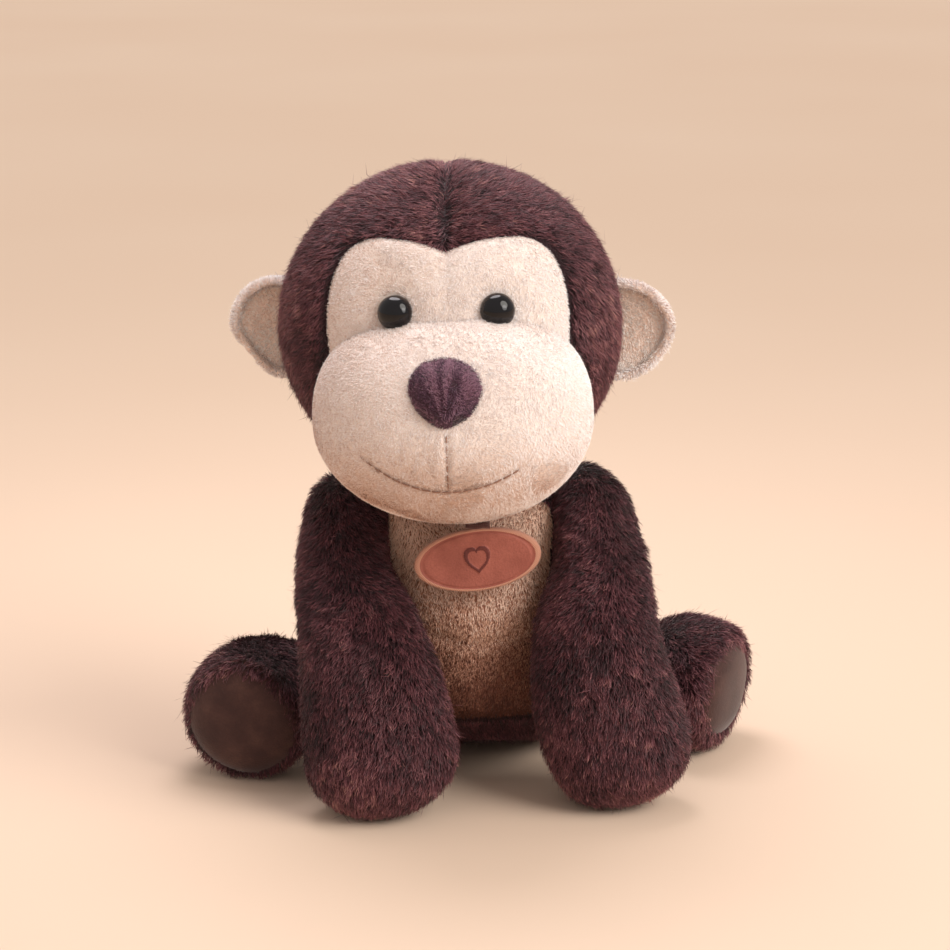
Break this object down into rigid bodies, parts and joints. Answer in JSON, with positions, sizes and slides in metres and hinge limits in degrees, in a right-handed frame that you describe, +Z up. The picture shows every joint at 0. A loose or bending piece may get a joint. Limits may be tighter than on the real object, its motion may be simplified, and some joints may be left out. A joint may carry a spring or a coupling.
{
  "type": "stuffed monkey",
  "caption": "Sitting plush monkey with dark long-pile head and limbs, a cream face and stuffed muzzle, cupped ears, suede soles and an oval tag; head, limbs, ears, tail and tag move.",
  "frame": {"origin": "centre of the object's footprint box, on the surface it sits on", "axes": "+Z up, -Y the way the face looks, +X to the monkey's own left"},
  "size_m": [0.2255, 0.1737, 0.241],
  "materials": {
    "dark_fur": "long soft pile, slightly matted",
    "cream_plush": "very short pile",
    "ear_plush": "fuzzy short pile",
    "nose_plush": "dense short pile",
    "suede": "matt suede",
    "eye_gloss": "polished black",
    "washer_plastic": "natural plastic",
    "stuffing": "polyester fibre",
    "pellets": "woven bag of plastic pellets",
    "thread": "twisted thread",
    "dark_thread": "strong twisted thread",
    "tag_leather": "embossed imitation leather",
    "ribbon": "narrow woven ribbon"
  },
  "bodies": {
    "torso": {"belly_panel": "cream_plush", "torso_panel_left": "dark_fur", "torso_panel_right": "dark_fur", "seat_panel": "dark_fur", "torso_stuffing": "stuffing", "pellet_bag": "pellets", "tag_loop": "ribbon"},
    "neck_seam": {"neck_seam": "dark_thread"},
    "head": {"head_panel_left": "dark_fur", "head_panel_right": "dark_fur", "brow_panel": "cream_plush", "muzzle_cover": "cream_plush", "nose": "nose_plush", "mouth_thread": "thread", "nose_seam_thread": "thread", "eye_left": "eye_gloss", "eye_right": "eye_gloss", "eye_washer_left": "washer_plastic", "eye_washer_right": "washer_plastic", "head_stuffing": "stuffing"},
    "ear_left": {"ear_back_left": "ear_plush", "ear_lining_left": "ear_plush"},
    "ear_right": {"ear_back_right": "ear_plush", "ear_lining_right": "ear_plush"},
    "shoulder_left": {"shoulder_seam_left": "dark_thread"},
    "shoulder_right": {"shoulder_seam_right": "dark_thread"},
    "arm_left": {"arm_left_panel_front": "dark_fur", "arm_left_panel_back": "dark_fur", "arm_left_stuffing": "stuffing"},
    "arm_right": {"arm_right_panel_front": "dark_fur", "arm_right_panel_back": "dark_fur", "arm_right_stuffing": "stuffing"},
    "leg_left": {"leg_left_panel_lower": "dark_fur", "leg_left_panel_upper": "dark_fur", "leg_left_stuffing": "stuffing", "sole_pad_left": "suede"},
    "leg_right": {"leg_right_panel_lower": "dark_fur", "leg_right_panel_upper": "dark_fur", "leg_right_stuffing": "stuffing", "sole_pad_right": "suede"},
    "tail": {"tail_panel_upper": "dark_fur", "tail_panel_lower": "dark_fur", "tail_stuffing": "stuffing"},
    "tag": {"tag": "tag_leather"}
  },
  "joints": [
    {"name": "neck_turn", "type": "hinge", "parent": "torso", "child": "neck_seam", "pos_m": [-0.0044, 0.0035, 0.114], "axis": [0, 0, 1], "range_deg": [-30, 30]},
    {"name": "neck_nod", "type": "hinge", "parent": "neck_seam", "child": "head", "pos_m": [-0.0044, 0.0035, 0.114], "axis": [1, 0, 0], "range_deg": [-15, 5]},
    {"name": "ear_left_fold", "type": "hinge", "parent": "head", "child": "ear_left", "pos_m": [0.0505, 0.0125, 0.175], "axis": [0, 0, -1], "range_deg": [-12, 25]},
    {"name": "ear_right_fold", "type": "hinge", "parent": "head", "child": "ear_right", "pos_m": [-0.0683, 0.0125, 0.175], "axis": [0, 0, 1], "range_deg": [-12, 25]},
    {"name": "shoulder_left_swing", "type": "hinge", "parent": "torso", "child": "shoulder_left", "pos_m": [0.0486, -0.0005, 0.108], "axis": [-1, 0, 0], "range_deg": [0, 50]},
    {"name": "arm_left_spread", "type": "hinge", "parent": "shoulder_left", "child": "arm_left", "pos_m": [0.0486, -0.0005, 0.108], "axis": [0, -1, 0], "range_deg": [0, 45]},
    {"name": "shoulder_right_swing", "type": "hinge", "parent": "torso", "child": "shoulder_right", "pos_m": [-0.0514, -0.0005, 0.108], "axis": [-1, 0, 0], "range_deg": [0, 40]},
    {"name": "arm_right_spread", "type": "hinge", "parent": "shoulder_right", "child": "arm_right", "pos_m": [-0.0514, -0.0005, 0.108], "axis": [0, 1, 0], "range_deg": [0, 45]},
    {"name": "leg_left_splay", "type": "hinge", "parent": "torso", "child": "leg_left", "pos_m": [0.0566, 0.0255, 0.026], "axis": [0, 0, -1], "range_deg": [-25, 20]},
    {"name": "leg_right_splay", "type": "hinge", "parent": "torso", "child": "leg_right", "pos_m": [-0.0594, 0.0255, 0.026], "axis": [0, 0, 1], "range_deg": [-35, 8]},
    {"name": "tail_swing", "type": "hinge", "parent": "torso", "child": "tail", "pos_m": [-0.0014, 0.0595, 0.019], "axis": [0, 0, 1], "range_deg": [-12, 45]},
    {"name": "tag_swing", "type": "hinge", "parent": "torso", "child": "tag", "pos_m": [0.0011, -0.033, 0.1083], "axis": [-1, 0, 0], "range_deg": [-8, 60]}
  ]
}
